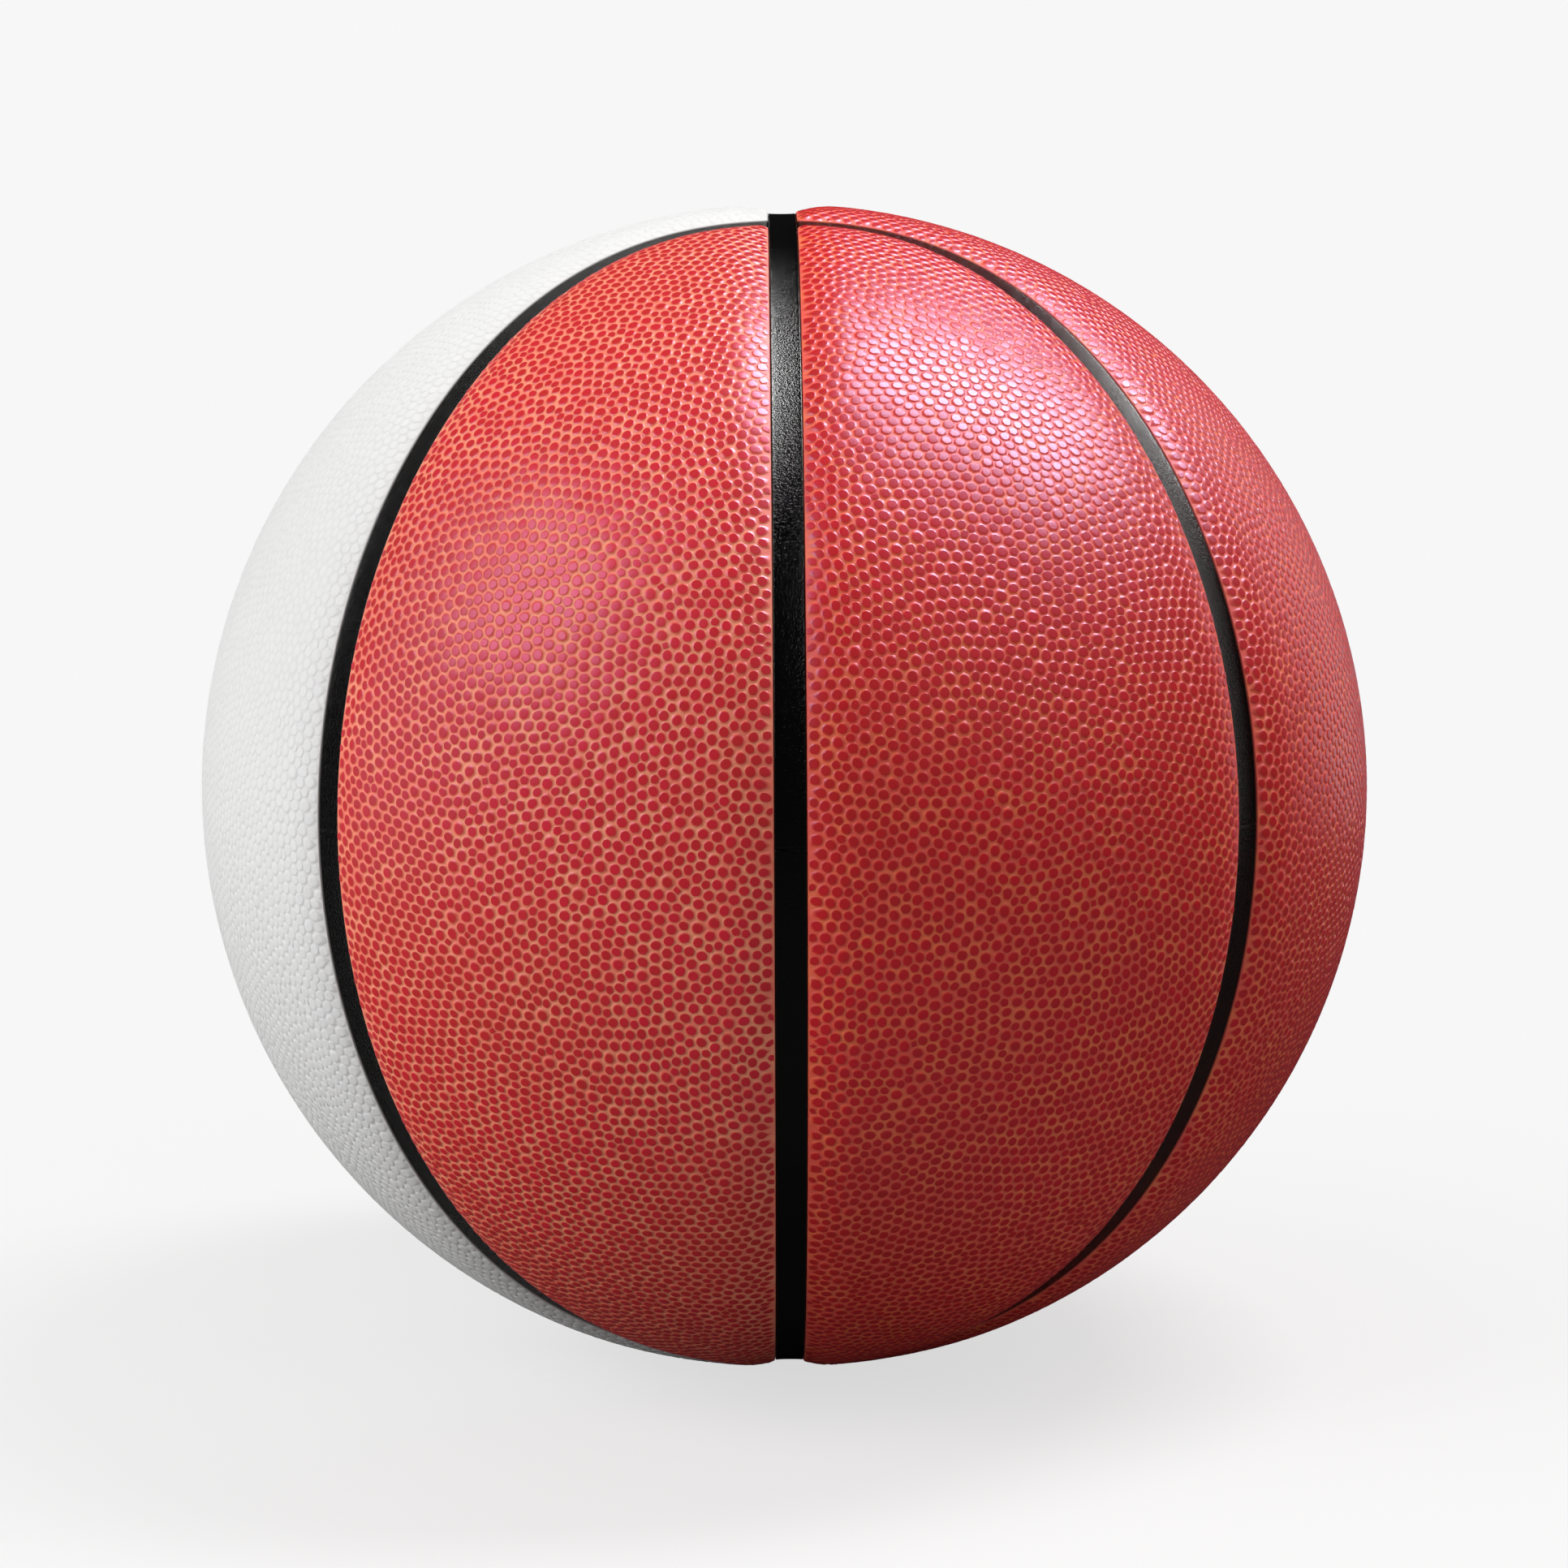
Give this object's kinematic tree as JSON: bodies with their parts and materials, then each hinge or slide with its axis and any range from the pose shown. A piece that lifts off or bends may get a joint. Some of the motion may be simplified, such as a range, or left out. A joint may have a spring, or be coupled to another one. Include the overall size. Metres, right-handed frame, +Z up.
{
  "type": "basketball",
  "caption": "Inflatable basketball with pebbled cover panels glued to a wound carcass, rubber strips in recessed channels, and a replaceable needle valve.",
  "frame": {"origin": "centre of the ball", "axes": "+Z up along the line where the two full circles of channel cross, -Y towards the middle of the front oval, +Y out through the valve"},
  "size_m": [0.242, 0.2418, 0.2418],
  "materials": {
    "cover_red": "pebbled composite leather, deep red pebbles on an orange ground, satin",
    "cover_white": "pebbled composite leather, white, satin",
    "channel_rubber": "smooth black rubber with a fine grain, satin",
    "butyl_rubber": "smooth butyl rubber, matt",
    "nylon_thread": "wound nylon thread set in latex",
    "carcass_rubber": "moulded rubber, matt",
    "valve_rubber": "soft moulded rubber, matt"
  },
  "bodies": {
    "ball": {"bladder": "butyl_rubber", "thread_winding": "nylon_thread", "carcass": "carcass_rubber", "valve_seat": "valve_rubber", "inner_panel_front_left": "cover_red", "inner_panel_front_right": "cover_red", "inner_panel_back_left": "cover_red", "inner_panel_back_right": "cover_red", "outer_panel_front_left": "cover_white", "outer_panel_front_right": "cover_red", "outer_panel_back_left": "cover_white", "outer_panel_back_right": "cover_red", "band_strip_front_upper": "channel_rubber", "band_strip_front_lower": "channel_rubber", "band_strip_back_upper": "channel_rubber", "band_strip_back_lower": "channel_rubber", "ring_strip_left_upper": "channel_rubber", "ring_strip_left_lower": "channel_rubber", "ring_strip_right_upper": "channel_rubber", "ring_strip_right_lower": "channel_rubber", "oval_strip_front_left_upper": "channel_rubber", "oval_strip_front_left_lower": "channel_rubber", "oval_strip_front_right_upper": "channel_rubber", "oval_strip_front_right_lower": "channel_rubber", "oval_strip_back_left_upper": "channel_rubber", "oval_strip_back_left_lower": "channel_rubber", "oval_strip_back_right_upper": "channel_rubber", "oval_strip_back_right_lower": "channel_rubber"},
    "plug": {"valve_plug": "valve_rubber"}
  },
  "joints": [
    {"name": "plug_pull", "type": "slide", "parent": "ball", "child": "plug", "axis": [0, 1, 0], "range_m": [0, 0.02]}
  ]
}
